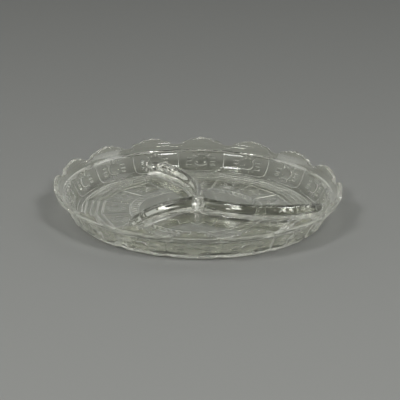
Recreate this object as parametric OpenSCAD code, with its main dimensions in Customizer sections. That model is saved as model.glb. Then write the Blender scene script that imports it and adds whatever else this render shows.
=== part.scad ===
// Round relish tray in clear pressed glass, one pressing with three compartments.
// The nodes are the regions of that one pressing. They meet face to face, with no joint between them.
// The origin is the middle of the underside, on the table, with +Z up. Millimetres.

/* [Dish] */
// Diameter at which the wall's outer line would meet the table
toe_d = 216.6; // [212:0.2:222]
// Outer diameter at the crease under the lip
crease_d = 235; // [230:0.5:242]
// Height of the crease above the table
crease_h = 18; // [16:0.5:22]
// Radius of the outer corner between underside and wall
corner_r = 7; // [4:0.5:8]
// Thickness of the floor, relief included
floor_t = 4; // [3:0.1:5.5]
// Thickness of the wall, square to its face
wall_t = 4; // [3:0.1:5]
// Radius of the inner corner between floor and wall
cove_r = 7; // [4:0.5:7.5]
// Number of panels, scallops and star points
panels = 16; // [12:1:20]

/* [Lip] */
// Widest diameter of the lip, at its belly
lip_d = 252; // [248:1:260]
// Height of the belly above the crease
belly_rise = 8; // [6:0.5:10]
// Height of the low points of the edge above the crease
trough_rise = 5.7; // [4:0.1:7]
// Height of the high points of the edge above the crease
peak_rise = 12.5; // [10.5:0.1:16]
// How far the lip leans back in above its belly
lip_lean = 1; // [0:0.1:2]
// Thickness of the lip
lip_t = 2.8; // [2:0.1:3.6]
// How full the scallops are, from 1.4 for a gentle wave to 4 for a square arch
scallop_fullness = 1.6; // [1.4:0.1:4]
// How round the troughs between scallops are, as a share of half a scallop
trough_round_share = 0.5; // [0.02:0.01:0.6]
// Height of the small teeth on each scallop
tooth_h = 1.6; // [0.3:0.1:1.8]

/* [Wall panels] */
// How far each panel stands out of the wall
panel_proud = 0.8; // [0.4:0.1:1.2]
// Width of the groove between two panels
groove_w = 1.4; // [1:0.1:3]
// Radius of a panel's two lower corners
panel_corner_r = 8; // [4:0.5:9]
// Space between the top of a panel and the crease
panel_top_gap = 0.6; // [0.3:0.1:2]
// Height of the middle of a button above the table
button_h = 10.5; // [9.5:0.1:11.5]
// Diameter of the round ends of the button in the middle of each panel
button_d = 9.8; // [8:0.2:11.5]
// How much wider than high the button and its ring of rays are, as a share
sunburst_wide_share = 1.33; // [1.05:0.01:1.4]
// How far a button stands out of its panel
button_proud = 1.1; // [0.4:0.1:1.2]
// Distance from the middle of a button to the start of its rays
ray_start = 6; // [6:0.1:6.4]
// Distance from the middle of a button to the end of its rays
ray_end = 9; // [8:0.1:10]
// Distance from the middle of a button to the start of its side rays
side_ray_start = 8.6; // [8:0.1:12]
// Distance from the middle of a button to the end of its side rays
side_ray_end = 13.4; // [13:0.1:16]
// Distance from each of the three side rays to the next
side_ray_pitch = 3.3; // [2.4:0.1:3.6]
// Width of a ray
ray_w = 1.1; // [0.5:0.1:1.1]
// How far a ray stands out of its panel
ray_proud = 0.6; // [0.3:0.1:0.8]
// Number of rays round a button
rays = 14; // [12:2:24]

/* [Underside relief] */
// Depth of the pressed pattern in the underside
relief_h = 1; // [0.3:0.1:1.2]
// Diameter over the corners of the outer band
band_d = 202; // [194:1:202]
// Width of the outer band
band_w = 17; // [12:0.5:18]
// Number of ridges in the outer band
band_ridges = 4; // [2:1:5]
// Width of a ridge
ridge_w = 1.2; // [0.8:0.1:1.6]
// Length of the bright bar at each corner of the band
corner_bar_l = 9; // [5:0.5:12]
// Width of the bar at each corner of the band
corner_bar_w = 1.8; // [1.2:0.1:2.4]
// Outer diameter of the rope ring
rope_d = 120; // [112:1:124]
// Width of the rope ring
rope_w = 8; // [6:0.5:10]
// Number of strands in the rope ring
rope_strands = 64; // [40:4:80]
// Slant of the rope's strands
rope_slant = 40; // [20:1:55]
// Diameter of the small button in each cell
cell_button_d = 7; // [4:0.5:9]
// Length of a cell's small rays
cell_ray_l = 3.4; // [2:0.1:4]
// Space between a small button and its rays
cell_ray_gap = 1.4; // [1:0.1:2]
// Number of small rays in each cell
cell_rays = 10; // [6:2:12]
// Diameter over the points of the middle star
star_d = 76; // [64:1:84]
// Diameter over the notches of the middle star
star_notch_d = 60; // [50:1:62]

/* [Dividers] */
// Height of the dividers above the table
divider_h = 16.2; // [12:0.2:17.5]
// Radius of a divider's rounded top
divider_top_r = 3.4; // [2.4:0.1:4]
// Width of a divider just above its foot
divider_foot_w = 10.4; // [8:0.2:12]
// Radius of the hollow curve at a divider's foot
divider_foot_r = 2.6; // [1.5:0.1:3.5]
// Radius of a divider's curve, seen from above
divider_curve_r = 96; // [85:1:120]
// Direction in which the back divider leaves the middle
divider_turn = 82.5; // [70:0.5:95]
// How far a divider's top sinks where it meets the wall
divider_dip = 2.4; // [0.5:0.1:4]
// Length over which a divider's top sinks
divider_dip_l = 18; // [10:1:30]
// Number of compartments
compartments = 3; // [3:1:3]

/* [Post] */
// Diameter of the post in which the dividers meet
post_d = 12.6; // [12:0.2:16]
// Radius of the post's rounded top edge
post_round_r = 2; // [1:0.1:3]

/* [Hidden] */
$fn = 96;
arc_steps = 7;
corner_steps = 5;
dome_steps = 4;
edge_steps = 26;
teeth_steps = 10;
tooth_steps = 4;
sink = 0.4;

toe_r = toe_d / 2;
crease_r = crease_d / 2;
lip_r = lip_d / 2;
pitch_a = 360 / panels;
wall_a = atan2(crease_h, crease_r - toe_r);
corner_start_r = toe_r - corner_r * tan(wall_a / 2);
inner_toe_r = toe_r + floor_t / tan(wall_a) - wall_t / sin(wall_a);
floor_r = inner_toe_r - cove_r * tan(wall_a / 2);
inner_crease_r = crease_r - wall_t / sin(wall_a);
corner_c = [corner_start_r, corner_r];
cove_c = [floor_r, floor_t + cove_r];
band_r = band_d / 2;

// Points along an arc about c
function arc(c, r, from_a, to_a, steps) =
    [for (i = [0:steps]) let (a = from_a + (to_a - from_a) * i / steps) c + r * [cos(a), sin(a)]];
function reversed(list) = [for (i = [len(list) - 1:-1:0]) list[i]];
function on_circle(r, a) = r * [cos(a), sin(a)];
// Radius of the wall's outer face at height z, and a point that stands off it by out
function wall_r(z) = toe_r + z / tan(wall_a);
function off_wall(z, out) = [wall_r(z) + out * sin(wall_a), z - out * cos(wall_a)];

// Rounds the outer corner and runs up to the crease
outer_line = concat(arc(corner_c, corner_r, -90, wall_a - 90, arc_steps), [[crease_r, crease_h]]);
// Rounds the inner corner and runs up to the crease
inner_line = concat(arc(cove_c, cove_r, -90, wall_a - 90, arc_steps), [[inner_crease_r, crease_h]]);

// Height of the scalloped edge above the crease at turn t, where one panel is 1 turn and 0 is a peak
function rounded(gap) = let (w = trough_round_share) (norm([gap, w]) - w) / (norm([1, w]) - w);
function arch(t) = 1 - pow(1 - rounded(1 - abs(2 * t)), scallop_fullness);
function edge_rise(t) = trough_rise + (peak_rise - trough_rise - tooth_h) * arch(t);
// Radius of the lip's outer and inner faces at a rise above the crease
function belly_share(rise) = min(1, rise / belly_rise);
function lean_in(rise) = lip_lean * pow(max(0, rise - belly_rise) / (peak_rise - belly_rise), 2);
function lip_outer_r(rise) =
    crease_r + (lip_r - crease_r) * sqrt(1 - pow(1 - belly_share(rise), 2)) - lean_in(rise);
// The inner face leaves the wall without a bend and curls up into the lip
function curl(s, lip_w) =
    belly_rise / tan(wall_a) * s * pow(1 - s, 2) + lip_w * (3 - 2 * s) * pow(s, 2);
function lip_inner_r(rise) =
    inner_crease_r + curl(belly_share(rise), lip_r - lip_t - inner_crease_r) - lean_in(rise);
// Round teeth stand on the middle of each scallop, with one at its very top
function tooth(i) =
    let (from_top = abs(i - edge_steps / 2), turn = (from_top + tooth_steps / 2) % tooth_steps)
    from_top < teeth_steps ? tooth_h * sqrt(1 - pow(2 * turn / tooth_steps - 1, 2)) : 0;

// One upright section through the lip, from the outer crease over the edge to the inner crease
outer_shares = [0, 0.12, 0.3, 0.62, 0.93];
inner_shares = [0.93, 0.7, 0.5, 0.3, 0.14, 0];
function lip_section(i) =
    let (rise = edge_rise(i / edge_steps - 0.5) + tooth(i))
    concat(
        [for (s = outer_shares) [lip_outer_r(rise * s), crease_h + rise * s]],
        [[(lip_outer_r(rise) + lip_inner_r(rise)) / 2, crease_h + rise]],
        [for (s = inner_shares) [lip_inner_r(rise * s), crease_h + rise * s]]);

module scalloped_rim() {
    columns = panels * edge_steps;
    rows = len(outer_shares) + len(inner_shares) + 1;
    points = [for (i = [0:columns - 1]) let (a = pitch_a * (i / edge_steps - 0.5))
        for (p = lip_section(i % edge_steps)) [p[0] * cos(a), p[0] * sin(a), p[1]]];
    faces = [for (i = [0:columns - 1]) for (j = [0:rows - 1])
        let (next_i = (i + 1) % columns, next_j = (j + 1) % rows,
            a = i * rows + j, b = next_i * rows + j, c = next_i * rows + next_j, d = i * rows + next_j)
        each [[a, b, c], [a, c, d]]];
    color("#c9cfc6") polyhedron(points, [for (f = faces) reversed(f)], convexity = 8);
}

// Outline of one raised panel seen square on: half widths follow the wall, lower corners are round
module panel_outline() {
    top_z = crease_h - panel_top_gap;
    half_top = wall_r(top_z) * sin(pitch_a / 2) - groove_w / 2;
    half_low = wall_r(panel_corner_r) * sin(pitch_a / 2) - groove_w / 2;
    polygon(concat(
        arc([half_low - panel_corner_r, panel_corner_r], panel_corner_r, -90, 0, corner_steps),
        [[half_top, top_z], [-half_top, top_z]],
        arc([panel_corner_r - half_low, panel_corner_r], panel_corner_r, 180, 270, corner_steps)));
}

module panel_pad() {
    low_a = acos(corner_r / (corner_r + panel_proud));
    intersection() {
        rotate([0, 0, -pitch_a / 2]) rotate_extrude(angle = pitch_a) polygon(concat(
            arc(corner_c, corner_r + panel_proud, low_a - 90, wall_a - 90, arc_steps),
            [off_wall(crease_h, panel_proud), off_wall(crease_h, -sink)],
            reversed(arc(corner_c, corner_r - sink, low_a - 90, wall_a - 90, arc_steps))));
        rotate([90, 0, 90]) linear_extrude(crease_r + panel_proud) panel_outline();
    }
}

// A place on a panel's face: along runs round the dish, up runs up the slope from the button's middle
module on_panel(along, up) {
    z = button_h + up * sin(wall_a);
    seat = off_wall(z, panel_proud);
    rotate([0, 0, along / seat[0] * 180 / PI]) translate([seat[0], 0, seat[1]])
        rotate([0, 180 - wall_a, 0]) children();
}

// A domed button with round ends and a short straight stretch between them
module button() {
    straight = button_d * (sunburst_wide_share - 1);
    crown = arc([0, 0], 1, 0, 90, dome_steps);
    dome = [for (p = crown) [button_d / 2 * p[0], button_proud * p[1]]];
    mirrored = [for (i = [len(dome) - 2:-1:0]) [-dome[i][0], dome[i][1]]];
    on_panel(0, 0) {
        for (side_a = [0, 180]) rotate([0, 0, side_a]) translate([0, straight / 2, 0])
            rotate_extrude(angle = 180) polygon(concat([[0, -sink], [button_d / 2, -sink]], dome));
        rotate([90, 0, 0]) linear_extrude(straight, center = true)
            polygon(concat([[-button_d / 2, -sink], [button_d / 2, -sink]], dome, mirrored));
    }
}

// A ray at a place on the panel; at a slant of 0 it lies level
module ray(along, up, length, slant_a) {
    on_panel(along, up) rotate([0, 0, 90 + slant_a]) translate([0, 0, (ray_proud - sink) / 2])
        cube([length, ray_w, ray_proud + sink], center = true);
}

// A ray of the ring round the button, which is drawn out sideways
module ring_ray(to_r, turn_a) {
    way = [sunburst_wide_share * cos(turn_a), sin(turn_a)];
    middle = (ray_start + to_r) / 2 * way;
    ray(middle[0], middle[1], (to_r - ray_start) * norm(way), atan2(way[1], way[0]));
}

// A button with rays above and below, cut short where the panel ends, and three level rays at each side
module sunburst() {
    room = (crease_h - panel_top_gap - button_h) / sin(wall_a) - ray_w / 2;
    button();
    for (k = [2:rays / 2 - 2]) {
        a = 360 * k / rays;
        reach = max(min(ray_end, room / sin(a)), ray_start + ray_w / 2);
        for (turn_a = [a, -a]) ring_ray(reach, turn_a);
    }
    for (side = [-1, 1]) for (k = [-1:1])
        ray(side * (side_ray_start + side_ray_end) / 2, k * side_ray_pitch, side_ray_end - side_ray_start, 0);
}

module side_wall() {
    color("#bfc6ba") {
        rotate_extrude() polygon(concat([[floor_r, 0]], outer_line, reversed(inner_line)));
        for (k = [0:panels - 1]) rotate([0, 0, pitch_a * k]) { panel_pad(); sunburst(); }
    }
}

// A flat ring with straight sides between corners that lie on the panels' boundaries
module corner_ring(outer_r, width) {
    difference() {
        polygon([for (k = [0:panels - 1]) on_circle(outer_r, pitch_a * (k + 0.5))]);
        polygon([for (k = [0:panels - 1]) on_circle(outer_r - width, pitch_a * (k + 0.5))]);
    }
}

module round_ring(outer_r, width) {
    difference() { circle(outer_r); circle(outer_r - width); }
}

// A bar along the radius
module radial_bar(from_r, to_r, width, a) {
    rotate(a) translate([from_r, -width / 2]) square([to_r - from_r, width]);
}

module outer_band() {
    step = (band_w - ridge_w) / (band_ridges - 1);
    inner_r = band_r - band_w;
    for (k = [0:band_ridges - 1]) corner_ring(band_r - step * k, ridge_w);
    for (k = [0:panels - 1])
        radial_bar(band_r - corner_bar_l, band_r, corner_bar_w, pitch_a * (k + 0.5));
    for (k = [0:panels - 1]) radial_bar(rope_d / 2 - ridge_w / 2, inner_r, ridge_w, pitch_a * (k + 0.5));
}

module rope_ring() {
    outer_r = rope_d / 2;
    strand_l = rope_w / cos(rope_slant);
    round_ring(outer_r, ridge_w);
    round_ring(outer_r - rope_w + ridge_w, ridge_w);
    for (k = [0:rope_strands - 1]) rotate(360 * k / rope_strands) translate([outer_r - rope_w / 2, 0])
        rotate(rope_slant) square([strand_l - 2 * ridge_w, ridge_w], center = true);
}

module cell_sunburst() {
    cell_r = (rope_d / 2 + band_r - band_w) / 2;
    start_r = cell_button_d / 2 + cell_ray_gap;
    translate([cell_r, 0]) {
        circle(cell_button_d / 2);
        for (k = [0:cell_rays - 1])
            radial_bar(start_r, start_r + cell_ray_l, ridge_w, 360 * (k + 0.5) / cell_rays);
    }
}

module middle_star() {
    polygon([for (k = [0:panels - 1]) each [on_circle(star_d / 2, pitch_a * k),
        on_circle(star_notch_d / 2, pitch_a * (k + 0.5))]]);
}

module floor_plate() {
    color("#c4cbc0") {
        translate([0, 0, relief_h]) cylinder(r = floor_r, h = floor_t - relief_h);
        linear_extrude(relief_h + sink) {
            outer_band();
            rope_ring();
            middle_star();
            for (k = [0:panels - 1]) rotate(pitch_a * k) cell_sunburst();
        }
    }
}

// The hollow of the dish below the dividers' tops, into which they are pressed
module divider_space() {
    end_z = divider_h - divider_dip;
    end_r = inner_toe_r + (end_z - floor_t) / tan(wall_a);
    difference() {
        rotate_extrude() polygon(concat([[0, floor_t]],
            [for (i = [0:arc_steps]) inner_line[i]],
            [[end_r, end_z], [end_r - divider_dip_l, divider_h], [0, divider_h]]));
        cylinder(r = post_d / 2, h = crease_h);
    }
}

// One side of a divider's section, from the floor up the hollow foot and over the round top
function divider_side() =
    let (foot = divider_foot_w / 2, top_z = divider_h - divider_top_r,
        lean_a = atan2(foot - divider_top_r, top_z - floor_t - divider_foot_r))
    concat(
        arc([foot + divider_foot_r, floor_t + divider_foot_r], divider_foot_r, 270, 180, corner_steps),
        arc([0, top_z], divider_top_r, lean_a, 90, corner_steps));

module divider_section() {
    side = divider_side();
    polygon(concat([[side[0][0], floor_t - sink]], side,
        [for (i = [len(side) - 2:-1:0]) [-side[i][0], side[i][1]]],
        [[-side[0][0], floor_t - sink]]));
}

// The share of the dish round the middle that belongs to one divider
module divider_sector() {
    spread = 360 / compartments;
    far = lip_d;
    linear_extrude(crease_h)
        polygon([[0, 0], on_circle(far, -spread / 2), on_circle(far, 0), on_circle(far, spread / 2)]);
}

module divider(turn_a) {
    sweep_a = 2 * asin(crease_r / 2 / divider_curve_r);
    color("#b9c2b4") rotate([0, 0, turn_a]) intersection() {
        translate([0, divider_curve_r, 0]) rotate([0, 0, -90])
            rotate_extrude(angle = sweep_a) translate([divider_curve_r, 0]) divider_section();
        divider_space();
        divider_sector();
    }
}

module divider_back() { divider(divider_turn); }
module divider_left() { divider(divider_turn + 360 / compartments); }
module divider_right() { divider(divider_turn - 360 / compartments); }

module centre_post() {
    post_r = post_d / 2;
    color("#b4bdae") rotate_extrude() polygon(concat([[0, floor_t], [post_r, floor_t]],
        arc([post_r - post_round_r, divider_h - post_round_r], post_round_r, 0, 90, corner_steps),
        [[0, divider_h]]));
}

floor_plate();
side_wall();
scalloped_rim();
centre_post();
divider_back();
divider_left();
divider_right();
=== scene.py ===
import math

import bpy
import numpy as np
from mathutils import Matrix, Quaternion, Vector


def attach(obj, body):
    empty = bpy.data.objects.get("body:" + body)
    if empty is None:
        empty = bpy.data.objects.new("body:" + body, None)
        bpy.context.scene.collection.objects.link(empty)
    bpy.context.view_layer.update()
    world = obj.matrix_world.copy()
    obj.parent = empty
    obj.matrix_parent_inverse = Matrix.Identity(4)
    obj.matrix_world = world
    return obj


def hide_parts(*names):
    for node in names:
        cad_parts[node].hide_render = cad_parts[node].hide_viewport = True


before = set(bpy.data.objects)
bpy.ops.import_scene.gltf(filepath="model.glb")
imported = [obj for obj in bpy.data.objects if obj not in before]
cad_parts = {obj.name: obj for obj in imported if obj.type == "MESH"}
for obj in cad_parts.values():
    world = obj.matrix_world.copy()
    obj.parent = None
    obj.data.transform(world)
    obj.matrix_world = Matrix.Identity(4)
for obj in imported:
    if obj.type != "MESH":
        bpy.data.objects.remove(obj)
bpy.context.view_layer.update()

# Round relish tray in clear pressed glass. The real tray is one pressing, so all pieces are cut from one
# continuous skin, and where two pieces meet inside the glass their faces are see-through.
MM = 0.001

# Sizes in millimetres and angles in degrees, as the solids have them, apart from a few. The panels' crown and
# rounded upper corners, the soft edges, the band's hatch, the post's fuller round and the fillet at each
# divider's end are only here, and the lip stays 0.02 mm inside the one of the solids.
TOE_R, CREASE_R, CREASE_H, LIP_R = 108.3, 117.5, 18.0, 125.98
CORNER_R, COVE_R = 7.0, 7.0
FLOOR_T, WALL_T = 4.0, 4.0
PANELS, COMPARTMENTS = 16, 3
LIP_T, LIP_LEAN = 2.8, 1.0
BELLY_RISE, TROUGH_RISE, PEAK_RISE = 8.0, 5.7, 12.5
SCALLOP_FULLNESS, TROUGH_ROUND = 1.6, 0.5
TOOTH_H, TEETH, TEETH_END_TURN = 1.6, 6.5, 10 / 26
EDGE_ROUND = 1.2
PANEL_PROUD, PANEL_EDGE, GROOVE_W = 0.8, 1.2, 1.4
PANEL_CROWN, PANEL_CROWN_REACH = 0.25, 8.0
PANEL_CORNER_R, PANEL_TOP_R, PANEL_TOP_GAP, PANEL_FOOT_GAP = 8.0, 1.6, 0.6, 0.1
BUTTON_H, BUTTON_R, BUTTON_PROUD, SUNBURST_WIDE = 10.5, 4.9, 1.1, 1.33
RAYS, RAY_W, RAY_PROUD, RAY_EDGE = 14, 1.1, 0.6, 0.8
RAY_START, RAY_END = 6.0, 9.0
RAY_FADE_GAP, RAY_FADE_W = 0.4, 0.6
SIDE_RAY_START, SIDE_RAY_END, SIDE_RAY_PITCH = 8.6, 13.4, 3.3
RELIEF_H, RIDGE_W, RIDGE_EDGE = 1.0, 1.2, 0.9
BAND_R, BAND_W, BAND_RIDGES = 101.0, 17.0, 4
HATCH_STEP, HATCH_W, HATCH_SLANT, HATCH_H_SHARE = 2.6, 0.8, 0.6, 0.8
CORNER_BAR_L, CORNER_BAR_W = 9.0, 1.8
ROPE_R, ROPE_W, ROPE_STRANDS, ROPE_SLANT = 60.0, 8.0, 64, 40.0
CELL_BUTTON_R, CELL_RAY_L, CELL_RAY_GAP, CELL_RAYS = 3.5, 3.4, 1.4, 10
STAR_R, STAR_NOTCH_R, STAR_PLAIN_GAP = 38.0, 30.0, 2.0
DIVIDER_H, DIVIDER_TOP_R, DIVIDER_FOOT, DIVIDER_FOOT_R = 16.2, 3.4, 5.2, 2.6
DIVIDER_CURVE_R, DIVIDER_TURN = 96.0, 82.5
DIVIDER_AHEAD = 0.25  # in radians, from a divider's start to the middle of the half that it lies in
DIVIDER_DIP, DIVIDER_DIP_L = 2.4, 18.0
DIVIDER_BLEND, BLEND_L, BLEND_FADE = 1.6, 8.0, 2.0
POST_R, POST_FLAT_R = 6.3, 1.9

PITCH = 2 * math.pi / PANELS
WALL_A = math.atan2(CREASE_H, CREASE_R - TOE_R)
CORNER_START_R = TOE_R - CORNER_R * math.tan(WALL_A / 2)
INNER_TOE_R = TOE_R + FLOOR_T / math.tan(WALL_A) - WALL_T / math.sin(WALL_A)
FLOOR_R = INNER_TOE_R - COVE_R * math.tan(WALL_A / 2)
INNER_CREASE_R = CREASE_R - WALL_T / math.sin(WALL_A)
DIVIDER_HALF = DIVIDER_FOOT + DIVIDER_FOOT_R
DIVIDER_END_H = DIVIDER_H - DIVIDER_DIP
DIVIDER_END_R = INNER_TOE_R + (DIVIDER_END_H - FLOOR_T) / math.tan(WALL_A)
CORNER_L = CORNER_R * WALL_A
WALL_L = (CREASE_H - CORNER_R * (1 - math.cos(WALL_A))) / math.sin(WALL_A)

# The skin is a grid: its rings run from the middle of the floor over the lip to the middle of the
# underside, and each ring has 120 columns to a panel and 640 to a compartment
COLUMNS = 1920
SHARE = COLUMNS // COMPARTMENTS
# So many columns on each side of a divider's ridge follow its curve, over its crown, its side and its foot
FOLLOWERS = 16
FOLLOWER_COUNTS = (0, 6, 11, 15, FOLLOWERS)
FOLLOWER_OFFSETS = (0, 3.27, DIVIDER_FOOT, DIVIDER_HALF, 8.6)
# Inside the first radius the columns run straight to the middle, and over the stretch they spread evenly
FROZEN_R = 11.0
CALM_R = (111.0, 118.0)
# Spacing of the rings where the glass has a pattern, where it is plain, at the post and on the foot
FINE, COARSE, POST_SPACING, FOOT_SPACING = 0.32, 1.3, 0.5, 1.2
POST_SURROUND_R = 12.0
COVE_RINGS, WALL_RINGS, LIP_RINGS, EDGE_RINGS = 10, 18, 20, 8
# On the outside of the lip the rings crowd towards the crease by this power
CREASE_CROWDING = 1.5
# Less than this above the bed counts as the bed itself
LEVEL = 0.001
# These keep a division from being one by zero
HAIR, NOTHING = 1e-6, 1e-12


def smooth(x):
    """0 to 1 with a gentle start and end."""
    x = np.clip(x, 0, 1)
    return x * x * (3 - 2 * x)


def soft(distance, edge=RIDGE_EDGE):
    """1 inside a shape and 0 outside, from its signed distance, over a rounded pressed edge."""
    return smooth(0.5 - distance / edge)


def fold(angle, pitch):
    """The angle from the nearest of evenly pitched directions."""
    return (angle + pitch / 2) % pitch - pitch / 2


def steps(start, end, spacing):
    """Evenly spaced values from start to end, without the first."""
    count = max(1, round(abs(end - start) / spacing))
    return np.linspace(start, end, count + 1)[1:]


# The lip
def edge_rise(theta):
    """Height of the scalloped edge above the crease, with its rounded teeth."""
    turn = fold(theta, PITCH) / PITCH
    gap = 1 - np.abs(2 * turn)
    round_gap = (np.hypot(gap, TROUGH_ROUND) - TROUGH_ROUND) / (math.hypot(1, TROUGH_ROUND) - TROUGH_ROUND)
    arch = 1 - (1 - round_gap) ** SCALLOP_FULLNESS
    tooth_turn = (turn * TEETH + 0.5) % 1 * 2 - 1
    teeth = TOOTH_H * np.sqrt(1 - tooth_turn ** 2) * (np.abs(turn) < TEETH_END_TURN)
    return TROUGH_RISE + (PEAK_RISE - TROUGH_RISE - TOOTH_H) * arch + teeth


def lean_in(rise):
    return LIP_LEAN * (np.maximum(0, rise - BELLY_RISE) / (PEAK_RISE - BELLY_RISE)) ** 2


def lip_outer_r(rise):
    share = np.clip(rise / BELLY_RISE, 0, 1)
    return CREASE_R + (LIP_R - CREASE_R) * np.sqrt(1 - (1 - share) ** 2) - lean_in(rise)


def lip_inner_r(rise):
    """The inner face leaves the wall without a bend and curls up into the lip."""
    share = np.clip(rise / BELLY_RISE, 0, 1)
    start = BELLY_RISE / math.tan(WALL_A) * share * (1 - share) ** 2
    curl = (LIP_R - LIP_T - INNER_CREASE_R) * (3 - 2 * share) * share ** 2
    return INNER_CREASE_R + start + curl - lean_in(rise)


# The dividers and the post
def divider_section(d):
    """Height of a divider's face at distance d from its ridge."""
    top_z = DIVIDER_H - DIVIDER_TOP_R
    lean = math.atan2(DIVIDER_FOOT - DIVIDER_TOP_R, top_z - FLOOR_T - DIVIDER_FOOT_R)
    shoulder, shoulder_z = DIVIDER_TOP_R * math.cos(lean), top_z + DIVIDER_TOP_R * math.sin(lean)
    foot_z = FLOOR_T + DIVIDER_FOOT_R
    crown = top_z + np.sqrt(np.maximum(DIVIDER_TOP_R ** 2 - d ** 2, 0))
    side = shoulder_z + (foot_z - shoulder_z) * (d - shoulder) / (DIVIDER_FOOT - shoulder)
    hollow = foot_z - np.sqrt(np.maximum(DIVIDER_FOOT_R ** 2 - (DIVIDER_HALF - d) ** 2, 0))
    z = np.where(d < shoulder, crown, np.where(d < DIVIDER_FOOT, side, hollow))
    return np.where(d < DIVIDER_HALF, z, FLOOR_T)


def divider_turns():
    """The directions in which the dividers leave the middle."""
    return [math.radians(DIVIDER_TURN + 360 / COMPARTMENTS * k) for k in range(COMPARTMENTS)]


def raised(x, y, bed):
    """The bed's height with the dividers and the post pressed up out of it."""
    radius = np.hypot(x, y)
    dip = smooth((radius - DIVIDER_END_R + DIVIDER_DIP_L) / DIVIDER_DIP_L)
    dip = dip * DIVIDER_DIP / (DIVIDER_H - FLOOR_T)
    top = divider_section(np.maximum(0, radius - POST_FLAT_R))
    nearest = np.full_like(radius, DIVIDER_HALF)
    for turn in divider_turns():
        middle = DIVIDER_CURVE_R * np.array([-math.sin(turn), math.cos(turn)])
        d = np.abs(np.hypot(x - middle[0], y - middle[1]) - DIVIDER_CURVE_R)
        # the circle's other half, behind the middle, isn't part of the divider
        ahead = x * math.cos(turn + DIVIDER_AHEAD) + y * math.sin(turn + DIVIDER_AHEAD) > 0
        d = np.where(ahead, d, DIVIDER_HALF)
        nearest = np.minimum(nearest, d)
        top = np.maximum(top, divider_section(d))
    top = FLOOR_T + (top - FLOOR_T) * (1 - dip)
    # where a divider runs into the wall the two are blended by a fillet
    blend = smooth((radius - FLOOR_R) / BLEND_L + 0.5) * smooth((DIVIDER_HALF - nearest) / BLEND_FADE)
    blend = DIVIDER_BLEND * blend + HAIR
    near = np.maximum(blend - np.abs(top - bed), 0) / blend
    return np.maximum(top, bed) + near * near * blend / 4


def follower_offsets():
    """Distances from the ridge at which columns follow a divider: its crown, its side and its foot."""
    return np.interp(np.arange(FOLLOWERS + 1), FOLLOWER_COUNTS, FOLLOWER_OFFSETS)


def ridge_column():
    """The column that follows the first divider's ridge."""
    end = math.asin(CALM_R[0] / (2 * DIVIDER_CURVE_R))
    return round((divider_turns()[0] + end) / (2 * math.pi) * COLUMNS)


def column_angles(radius):
    """The direction of every column at this radius of the hollow side."""
    r = min(max(radius, FROZEN_R), CALM_R[0])
    offsets = np.concatenate([-follower_offsets()[:0:-1], follower_offsets()])
    reach = (r ** 2 + DIVIDER_CURVE_R ** 2 - (DIVIDER_CURVE_R - offsets) ** 2) / (2 * r * DIVIDER_CURVE_R)
    along = divider_turns()[0] + np.arcsin(reach)
    near_ridge = ridge_column() + np.arange(-FOLLOWERS, FOLLOWERS + 1)
    known_at = np.concatenate([near_ridge + SHARE * k for k in range(COMPARTMENTS + 1)])
    known = np.concatenate([along + 2 * math.pi / COMPARTMENTS * k for k in range(COMPARTMENTS + 1)])
    at = near_ridge[0] + np.arange(COLUMNS)
    even = at * 2 * math.pi / COLUMNS
    calm = smooth((radius - CALM_R[0]) / (CALM_R[1] - CALM_R[0]))
    return np.roll(np.interp(at, known_at, known) * (1 - calm) + even * calm, near_ridge[0])


# The pattern on the outside of the wall
def sunburst_height(u, v, distance):
    """The button and its rays, at a place across and up from the button's middle. The rays fade out before
    the panel's edge, which lies at this distance."""
    straight = BUTTON_R * (SUNBURST_WIDE - 1)
    rho = np.hypot(np.maximum(np.abs(u) - straight, 0), v)
    button = BUTTON_PROUD * np.sqrt(np.clip(1 - (rho / BUTTON_R) ** 2, 0, 1))
    rho, psi = np.hypot(u / SUNBURST_WIDE, v), np.arctan2(v, u / SUNBURST_WIDE)
    off_ray = np.sin(fold(psi, 2 * math.pi / RAYS)) * rho * np.hypot(1, (SUNBURST_WIDE - 1) * np.sin(psi))
    past_ends = np.abs(rho - (RAY_START + RAY_END) / 2) - (RAY_END - RAY_START) / 2
    # the rays that would point sideways give way to three level ones
    over_or_under = np.abs(np.sin(psi)) > math.sin(3 * math.pi / RAYS)
    ray = soft(np.maximum(np.abs(off_ray) - RAY_W / 2, past_ends), RAY_EDGE) * over_or_under
    past_ends = np.abs(np.abs(u) - (SIDE_RAY_START + SIDE_RAY_END) / 2) - (SIDE_RAY_END - SIDE_RAY_START) / 2
    off_ray = np.abs(v - SIDE_RAY_PITCH * np.clip(np.round(v / SIDE_RAY_PITCH), -1, 1))
    side_ray = soft(np.maximum(off_ray - RAY_W / 2, past_ends), RAY_EDGE)
    rays = np.maximum(ray, side_ray) * smooth(-(distance + RAY_FADE_GAP) / RAY_FADE_W)
    return np.maximum(button, RAY_PROUD * rays)


def panel_height(theta, radius, length):
    """How far the outer face stands out of the plain wall, at this length up from the foot."""
    low = CORNER_R * math.acos(CORNER_R / (CORNER_R + PANEL_PROUD)) + PANEL_FOOT_GAP
    high = CORNER_L + WALL_L - PANEL_TOP_GAP
    across = np.abs(fold(theta, PITCH)) * radius
    half_w = PITCH / 2 * radius - GROOVE_W / 2
    middle, half_h = (low + high) / 2, (high - low) / 2
    r = np.where(length < middle, PANEL_CORNER_R, PANEL_TOP_R)
    qx, qy = across - (half_w - r), np.abs(length - middle) - (half_h - r)
    distance = np.hypot(np.maximum(qx, 0), np.maximum(qy, 0)) + np.minimum(np.maximum(qx, qy), 0) - r
    height = PANEL_PROUD * soft(distance, PANEL_EDGE) + PANEL_CROWN * smooth(-distance / PANEL_CROWN_REACH)
    u = fold(theta, PITCH) * radius
    v = length - CORNER_L - (BUTTON_H - CORNER_R * (1 - math.cos(WALL_A))) / math.sin(WALL_A)
    return height + sunburst_height(u, v, distance)


# The pattern in the underside
def bar(along, across, start, end, width):
    """1 on a bar that runs from start to end."""
    past_ends = np.abs(along - (start + end) / 2) - (end - start) / 2
    return soft(np.maximum(past_ends, np.abs(across) - width / 2))


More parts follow.
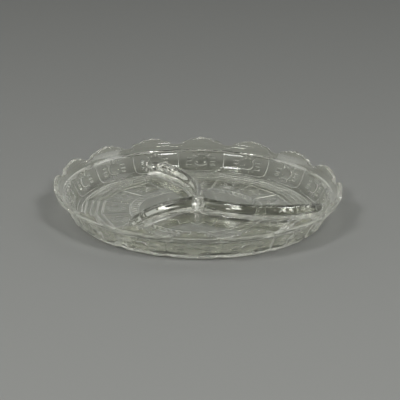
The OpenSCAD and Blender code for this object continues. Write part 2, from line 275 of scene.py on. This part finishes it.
def band(theta, radius):
    """The sixteen-cornered band: its ridges, the slanted hatch between the outer ones and the corner bars."""
    from_panel, from_edge = fold(theta, PITCH), fold(theta - PITCH / 2, PITCH)
    corner_r = radius * np.cos(from_panel) / math.cos(PITCH / 2)
    step = (BAND_W - RIDGE_W) / (BAND_RIDGES - 1)
    shapes = []
    for k in range(BAND_RIDGES):
        shapes.append(soft(np.abs(corner_r - (BAND_R - RIDGE_W / 2 - step * k)) - RIDGE_W / 2))
    slanted = fold(radius * np.sin(from_panel) + (BAND_R - corner_r) * HATCH_SLANT, HATCH_STEP)
    in_band = np.maximum(corner_r - BAND_R, BAND_R - 2 * step - corner_r)
    shapes.append(soft(np.maximum(np.abs(slanted) - HATCH_W / 2, in_band)) * HATCH_H_SHARE)
    along, across = radius * np.cos(from_edge), radius * np.sin(from_edge)
    shapes.append(bar(along, across, BAND_R - CORNER_BAR_L, BAND_R, CORNER_BAR_W))
    return shapes


def rope(theta, radius):
    """Two round ridges with slanted strands between them."""
    shapes = []
    for ridge_r in (ROPE_R - RIDGE_W / 2, ROPE_R - ROPE_W + RIDGE_W / 2):
        shapes.append(soft(np.abs(radius - ridge_r) - RIDGE_W / 2))
    middle, slant = ROPE_R - ROPE_W / 2, math.radians(ROPE_SLANT)
    lean = (radius - middle) * math.tan(slant) / middle
    strand = np.abs(fold(theta - lean, 2 * math.pi / ROPE_STRANDS)) * radius * math.cos(slant)
    in_rope = np.abs(radius - middle) - (ROPE_W / 2 - RIDGE_W / 2)
    shapes.append(soft(np.maximum(strand - RIDGE_W / 2, in_rope)))
    return shapes


def cell(theta, radius):
    """The ridge at each cell's side and the small sunburst in its middle."""
    from_panel, from_edge = fold(theta, PITCH), fold(theta - PITCH / 2, PITCH)
    along, across = radius * np.cos(from_edge), radius * np.sin(from_edge)
    shapes = [bar(along, across, ROPE_R - RIDGE_W / 2, BAND_R - BAND_W, RIDGE_W)]
    middle_r = (ROPE_R + BAND_R - BAND_W) / 2
    u, v = radius * np.cos(from_panel) - middle_r, radius * np.sin(from_panel)
    rho, psi = np.hypot(u, v), np.arctan2(v, u)
    shapes.append(soft(rho - CELL_BUTTON_R))
    off_ray = fold(psi - math.pi / CELL_RAYS, 2 * math.pi / CELL_RAYS)
    start = CELL_BUTTON_R + CELL_RAY_GAP
    shapes.append(bar(rho * np.cos(off_ray), rho * np.sin(off_ray), start, start + CELL_RAY_L, RIDGE_W))
    return shapes


def star(theta, radius):
    """The star, whose side runs straight from a point at a panel's middle to a notch at its edge."""
    from_panel = fold(theta, PITCH)
    tip = np.array([STAR_R, 0.0])
    notch = STAR_NOTCH_R * np.array([math.cos(PITCH / 2), math.sin(PITCH / 2)])
    side = (notch - tip) / np.linalg.norm(notch - tip)
    px, py = radius * np.cos(from_panel) - tip[0], np.abs(radius * np.sin(from_panel)) - tip[1]
    return [soft(px * side[1] - py * side[0])]


def relief(theta, radius):
    """1 on the ridges of the underside, which touch the table, and 0 on its ground."""
    shapes = [shape for part in (band, rope, cell, star) for shape in part(theta, radius)]
    return np.maximum.reduce(np.broadcast_arrays(*shapes))


# The rings of the skin, in the order in which a finger would run over them from the middle outwards
def ring(angles, radius, z):
    """One ring's points, from a direction, a radius and a height for each column."""
    return np.stack([radius * np.cos(angles), radius * np.sin(angles), z + 0 * angles], axis=-1)


def hollow_line():
    """Radius and height of the bed's rings, from the middle of the floor to the crease."""
    post = [steps(0, POST_R, POST_SPACING), steps(POST_R, POST_SURROUND_R, POST_SPACING)]
    floor = np.concatenate([[0.0], *post, steps(POST_SURROUND_R, FLOOR_R, COARSE)])
    turn = np.linspace(-math.pi / 2, WALL_A - math.pi / 2, COVE_RINGS + 1)[1:]
    cove_r = FLOOR_R + COVE_R * np.cos(turn)
    cove_z = FLOOR_T + COVE_R + COVE_R * np.sin(turn)
    share = np.linspace(0, 1, WALL_RINGS + 1)[1:]
    radii = [floor, cove_r, cove_r[-1] + (INNER_CREASE_R - cove_r[-1]) * share]
    heights = [np.full(len(floor), FLOOR_T), cove_z, cove_z[-1] + (CREASE_H - cove_z[-1]) * share]
    return np.concatenate(radii), np.concatenate(heights), len(floor) - 1


def lip_rings():
    """Up the inside of the lip, over its rounded edge and down the outside."""
    rings = []
    for share in np.linspace(0, 1, LIP_RINGS + 1)[1:]:
        angles = column_angles(float(lip_inner_r((PEAK_RISE - EDGE_ROUND) * share)))
        rise = (edge_rise(angles) - EDGE_ROUND) * share
        rings.append(ring(angles, lip_inner_r(rise), CREASE_H + rise))
    even = column_angles(LIP_R)
    low = edge_rise(even) - EDGE_ROUND
    middle, half = (lip_outer_r(low) + lip_inner_r(low)) / 2, (lip_outer_r(low) - lip_inner_r(low)) / 2
    for turn in np.linspace(0, math.pi, EDGE_RINGS + 2)[1:-1]:
        radius = middle - half * math.cos(turn)
        rings.append(ring(even, radius, CREASE_H + low + EDGE_ROUND * math.sin(turn)))
    for share in np.linspace(1, 0, LIP_RINGS + 1) ** CREASE_CROWDING:
        rings.append(ring(even, lip_outer_r(low * share), CREASE_H + low * share))
    return rings


def outside_rings():
    """Down the patterned outside of the wall and round the corner to the table."""
    even = column_angles(LIP_R)
    rings = []
    for length in steps(CORNER_L + WALL_L, 0, FINE):
        turn = min(length, CORNER_L) / CORNER_R - math.pi / 2
        beyond = max(0, length - CORNER_L)
        radius = CORNER_START_R + CORNER_R * math.cos(turn) + beyond * math.cos(WALL_A)
        z = CORNER_R + CORNER_R * math.sin(turn) + beyond * math.sin(WALL_A)
        out = panel_height(even, radius, length)
        height = np.maximum(0, z + out * math.sin(turn))
        rings.append(ring(even, radius + out * math.cos(turn), height))
    return rings


def underside_rings():
    """In over the foot ring, the patterned underside and its smooth middle."""
    even = column_angles(LIP_R)
    foot = [ring(even, radius, 0) for radius in steps(CORNER_START_R, FLOOR_R, FOOT_SPACING)]
    plain_r = STAR_NOTCH_R - STAR_PLAIN_GAP
    radii = np.concatenate([steps(FLOOR_R, plain_r, FINE), steps(plain_r, 0, COARSE)])
    return foot, [ring(even, radius, RELIEF_H * (1 - relief(even, radius))) for radius in radii]


line_r, line_z, floor_ring = hollow_line()
hollow = np.array([ring(column_angles(r), r, z) for r, z in zip(line_r, line_z)])
bed = hollow.copy()
hollow[..., 2] = raised(hollow[..., 0], hollow[..., 1], bed[..., 2])
stands = hollow[..., 2] - bed[..., 2] > LEVEL
hollow[~stands] = bed[~stands]
lip, outside = lip_rings(), outside_rings()
foot, underside = underside_rings()
skin = np.concatenate([hollow, lip, outside, foot, underside])

crease_in = len(hollow) - 1
crease_out = crease_in + len(lip)
foot_in = crease_out + len(outside) + len(foot)
last = len(skin) - 1

# Numbers of the points: the skin's, then the bed's under the dividers and the post
top = np.arange(len(skin) * COLUMNS).reshape(len(skin), COLUMNS)
top[0], top[last] = top[0, 0], top[last, 0]
under = top[:crease_in + 1].copy()
under[stands] = len(skin) * COLUMNS + np.arange(under.size).reshape(under.shape)[stands]
under[0] = under[0, 0]
points = np.concatenate([skin.reshape(-1, 3), bed.reshape(-1, 3)])


def quads(rings):
    """The faces between each ring and the next, as rows of four point numbers."""
    a, b = rings[:-1], rings[1:]
    return np.stack([a, b, np.roll(b, -1, axis=1), np.roll(a, -1, axis=1)], axis=-1)


def unit(vectors):
    """The same directions with a length of 1."""
    return vectors / np.maximum(np.linalg.norm(vectors, axis=1, keepdims=True), NOTHING)


def facing(faces):
    """The direction that each face looks in, as long as twice its area."""
    corner = points[faces]
    return np.cross(corner[:, 2] - corner[:, 0], corner[:, 3] - corner[:, 1])


def skin_normals():
    """At every point the mean direction of the faces round it, weighed by their areas."""
    faces = quads(top).reshape(-1, 4)
    across = facing(faces)
    normals = np.zeros_like(points)
    for k in range(4):
        for axis in range(3):
            normals[:, axis] += np.bincount(faces[:, k], across[:, axis], len(points))
    return unit(normals)


normals = skin_normals()

# Which piece each face of the hollow belongs to
cells = quads(top[:crease_in + 1])
bed_cells = quads(under)
flat = np.concatenate([stands.reshape(-1), np.zeros(len(points) - stands.size, bool)])
standing = flat[cells].any(axis=-1)
row = np.arange(crease_in)[:, None]
column = np.arange(COLUMNS)[None, :]
in_post = np.broadcast_to(line_r[1:, None] < POST_R + LEVEL, standing.shape)
owner = np.round((column + 0.5 - ridge_column()) / SHARE).astype(int) % COMPARTMENTS
owner = np.broadcast_to(owner, standing.shape)


def pressed_up(own):
    """A closed shell over the bed: its faces, and which of them lie inside the glass."""
    inner = [bed_cells[own][:, ::-1]]
    for shift, axis, a, b in ((1, 1, 0, 1), (-1, 0, 1, 2), (-1, 1, 2, 3), (1, 0, 3, 0)):
        beside = np.roll(own, shift, axis=axis)
        # there is nothing to close at the floor's middle, but always at the last ring
        if axis == 0:
            beside[0 if shift == 1 else -1] = shift == 1
        edge = own & ~beside
        up, down = cells[edge], bed_cells[edge]
        inner.append(np.stack([up[:, b], up[:, a], down[:, a], down[:, b]], axis=-1))
    return cells[own], np.concatenate(inner)


def closing(first, second):
    """The faces of a cut through the glass, from one ring to another."""
    return quads(np.stack([first, second])).reshape(-1, 4)


covered = standing | in_post
on_floor = np.broadcast_to(row < floor_ring, standing.shape)
names = ("divider_back", "divider_left", "divider_right")
shells = {name: pressed_up(standing & ~in_post & (owner == k)) for k, name in enumerate(names)}
shells["centre_post"] = pressed_up(in_post)
shells["floor_plate"] = (
    np.concatenate([bed_cells[on_floor & ~covered], quads(top[foot_in:]).reshape(-1, 4)]),
    np.concatenate([bed_cells[on_floor & covered], closing(under[floor_ring], top[foot_in])]))
shells["side_wall"] = (
    np.concatenate([bed_cells[~on_floor & ~covered], quads(top[crease_out:foot_in + 1]).reshape(-1, 4)]),
    np.concatenate([bed_cells[~on_floor & covered], closing(top[foot_in], under[floor_ring]),
                    closing(top[crease_in], top[crease_out])]))
shells["scalloped_rim"] = (
    quads(top[crease_in:crease_out + 1]).reshape(-1, 4), closing(top[crease_out], top[crease_in]))


# Materials
def colour(code):
    """An sRGB hex value as the linear colour that the shaders take."""
    parts = [int(code[i:i + 2], 16) / 255 for i in (1, 3, 5)]
    linear = [c / 12.92 if c <= 0.04045 else ((c + 0.055) / 1.055) ** 2.4 for c in parts]
    return (*linear, 1.0)


def add(tree, kind, values=None, links=None, **settings):
    """One node with its settings, its fixed values and its links."""
    node = tree.nodes.new(kind)
    for name, value in settings.items():
        setattr(node, name, value)
    for name, value in (values or {}).items():
        node.inputs[name].default_value = value
    for name, source in (links or {}).items():
        tree.links.new(source, node.inputs[name])
    return node


def new_material(name):
    material = bpy.data.materials.new(name)
    material.use_nodes = True
    material.node_tree.nodes.clear()
    return material, material.node_tree


GLASS_IOR = 1.52
# Width and height of the unevenness in the glass's skin, in millimetres, and how rough the polish gets
ROLL_W, ROLL_H, CHILL_W, CHILL_H, ROUGHEST = 100 / 11, 0.015, 2.5, 0.006, 0.015


def pressed_glass():
    """Soda-lime glass, pressed in iron and fire polished: a clear body with the faint grey-green of its
    iron, a bright smooth skin, and the slight unevenness that the mould and the flame leave."""
    material, tree = new_material("pressed_soda_lime_glass")
    place = add(tree, "ShaderNodeTexCoord").outputs["Object"]
    # the skin rolls eleven times in 100 mm, and the chill of the mould leaves finer ripples
    roll = add(tree, "ShaderNodeTexNoise", {"Scale": 1 / (ROLL_W * MM), "Detail": 1.0}, {"Vector": place})
    chill = add(tree, "ShaderNodeTexNoise", {"Scale": 1 / (CHILL_W * MM), "Detail": 2.0}, {"Vector": place})
    rolled = add(tree, "ShaderNodeBump", {"Strength": 1.0, "Distance": ROLL_H * MM},
                 {"Height": roll.outputs["Fac"]})
    skin_bump = add(tree, "ShaderNodeBump", {"Strength": 1.0, "Distance": CHILL_H * MM},
                    {"Height": chill.outputs["Fac"], "Normal": rolled.outputs["Normal"]})
    # wiping leaves the polish a little uneven
    polish = add(tree, "ShaderNodeMapRange", {"To Min": 0.0, "To Max": ROUGHEST},
                 {"Value": roll.outputs["Fac"]})
    glass = add(tree, "ShaderNodeBsdfPrincipled",
                {"Base Color": colour("#fefff5"), "IOR": GLASS_IOR, "Transmission Weight": 1.0},
                {"Roughness": polish.outputs["Result"], "Normal": skin_bump.outputs["Normal"]})
    add(tree, "ShaderNodeOutputMaterial", None, {"Surface": glass.outputs["BSDF"]})
    return material


def inside_the_glass():
    """Where two pieces of the one pressing meet there is only glass, so nothing shows."""
    material, tree = new_material("glass_to_glass")
    clear = add(tree, "ShaderNodeBsdfTransparent", {"Color": (1.0, 1.0, 1.0, 1.0)})
    add(tree, "ShaderNodeOutputMaterial", None, {"Surface": clear.outputs["BSDF"]})
    return material


def table_sheet():
    """A pale grey paper sheet, matt."""
    material, tree = new_material("pale_grey_paper")
    paper = add(tree, "ShaderNodeBsdfPrincipled", {"Base Color": colour("#878885"), "Roughness": 0.9,
                                                   "Specular IOR Level": 0.2})
    add(tree, "ShaderNodeOutputMaterial", None, {"Surface": paper.outputs["BSDF"]})
    return material


glass_materials = (pressed_glass(), inside_the_glass())


def in_scene(name, data):
    thing = bpy.data.objects.new(name, data)
    bpy.context.scene.collection.objects.link(thing)
    return thing


def glass_piece(node, shown, inner):
    """One piece of the tray as a closed mesh that replaces its solid."""
    faces = np.concatenate([shown, inner])
    # where corners fall together a face keeps one of them, and a face with only two corners left is dropped
    keep = faces != np.roll(faces, -1, axis=1)
    sides = keep.sum(axis=1)
    is_inner = np.arange(len(faces)) >= len(shown)
    whole = sides > 2
    faces, keep, sides, is_inner = faces[whole], keep[whole], sides[whole], is_inner[whole]
    flat_normals = np.repeat(unit(facing(faces)), sides, axis=0)
    loops = faces[keep]
    of_inner = np.repeat(is_inner, sides)[:, None]
    loop_normals = np.where(of_inner, flat_normals, normals[loops])
    used, loops = np.unique(loops, return_inverse=True)
    mesh = bpy.data.meshes.new(node + "_glass")
    mesh.vertices.add(len(used))
    mesh.vertices.foreach_set("co", (points[used] * MM).astype(np.float32).ravel())
    mesh.loops.add(len(loops))
    mesh.loops.foreach_set("vertex_index", loops.astype(np.int32).ravel())
    mesh.polygons.add(len(faces))
    mesh.polygons.foreach_set("loop_start", (np.cumsum(sides) - sides).astype(np.int32))
    mesh.polygons.foreach_set("material_index", is_inner.astype(np.int32))
    mesh.polygons.foreach_set("use_smooth", np.ones(len(faces), bool))
    for material in glass_materials:
        mesh.materials.append(material)
    mesh.update(calc_edges=True)
    mesh.normals_split_custom_set(loop_normals.astype(np.float32))
    piece = in_scene(node + "_glass", mesh)
    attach(piece, "root")
    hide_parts(node)


for node, (shown, inner) in shells.items():
    glass_piece(node, shown, inner)

# The camera stands where the photograph was taken from
CAMERA_DISTANCE, CAMERA_DIRECTION, CAMERA_HEIGHT, CAMERA_ROLL = 1.466, -88.83, 20.43, 1.124
CAMERA_LENS, CAMERA_SENSOR, CAMERA_SHIFT = 149.94, 36.0, (0.00604, 0.0325)
SHEET_W, SHEET_GAP = 8.0, 0.00005
# The room's walls are lighter than its ceiling, with a soft change between these shares of the way up
WALLS_LIGHT, CEILING_LIGHT, WALLS_END, CEILING_START = 0.47, 0.01, 0.36, 0.60


def from_middle(direction, height, distance):
    """A place at this direction and height, both in degrees, seen from the middle of the tray."""
    a, e = math.radians(direction), math.radians(height)
    return distance * Vector((math.cos(e) * math.cos(a), math.cos(e) * math.sin(a), math.sin(e)))


def aim(thing, place):
    """Stands a camera or a lamp at a place and turns it to the middle of the tray."""
    thing.location = place
    thing.rotation_mode = "QUATERNION"
    thing.rotation_quaternion = (-place).to_track_quat("-Z", "Y")


def photo_camera():
    data = bpy.data.cameras.new("camera")
    data.lens, data.sensor_width = CAMERA_LENS, CAMERA_SENSOR
    data.shift_x, data.shift_y = CAMERA_SHIFT
    camera = in_scene("camera", data)
    aim(camera, from_middle(CAMERA_DIRECTION, CAMERA_HEIGHT, CAMERA_DISTANCE))
    camera.rotation_quaternion @= Quaternion((0, 0, 1), math.radians(CAMERA_ROLL))
    bpy.context.scene.camera = camera


def sheet():
    """The paper that the tray rests on, a hair's breadth under it."""
    mesh = bpy.data.meshes.new("sheet")
    half = SHEET_W / 2
    corners = [(-half, -half, 0), (half, -half, 0), (half, half, 0), (-half, half, 0)]
    mesh.from_pydata(corners, [], [(0, 1, 2, 3)])
    mesh.materials.append(table_sheet())
    paper = in_scene("sheet", mesh)
    paper.location.z = -SHEET_GAP


def softbox(name, direction, height, distance, width, length, power):
    data = bpy.data.lights.new(name, "AREA")
    data.shape, data.size, data.size_y, data.energy = "RECTANGLE", width, length, power
    aim(in_scene(name, data), from_middle(direction, height, distance))


def studio():
    """The light of a room that is brighter round the tray than over it."""
    world = bpy.data.worlds.new("studio")
    bpy.context.scene.world = world
    world.use_nodes = True
    room = world.node_tree
    room.nodes.clear()
    heading = add(room, "ShaderNodeTexCoord").outputs["Generated"]
    up = add(room, "ShaderNodeSeparateXYZ", None, {"Vector": heading}).outputs["Z"]
    light = add(room, "ShaderNodeMapRange", {"From Min": WALLS_END, "From Max": CEILING_START,
                                             "To Min": WALLS_LIGHT, "To Max": CEILING_LIGHT},
                {"Value": up}, interpolation_type="SMOOTHSTEP")
    walls = add(room, "ShaderNodeBackground", {"Color": colour("#fdfffb")},
                {"Strength": light.outputs["Result"]})
    add(room, "ShaderNodeOutputWorld", None, {"Surface": walls.outputs["Background"]})
    bpy.context.scene.view_settings.view_transform = "Standard"


photo_camera()
sheet()
softbox("softbox_left", direction=-128, height=46.4, distance=1.7, width=0.42, length=0.5, power=12.4)
softbox("softbox_right", direction=-54.5, height=46.8, distance=1.7, width=0.42, length=0.5, power=12.8)
softbox("softbox_behind_right", direction=30, height=47, distance=2.0, width=1.4, length=0.8, power=6.2)
softbox("softbox_behind_left", direction=150, height=47, distance=2.0, width=1.4, length=0.8, power=4.2)
studio()

# Light turns many times inside thick pressed glass before it comes out again
light_paths = bpy.context.scene.cycles
light_paths.max_bounces = 32
light_paths.glossy_bounces = 24
light_paths.transmission_bounces = 32
light_paths.transparent_max_bounces = 32
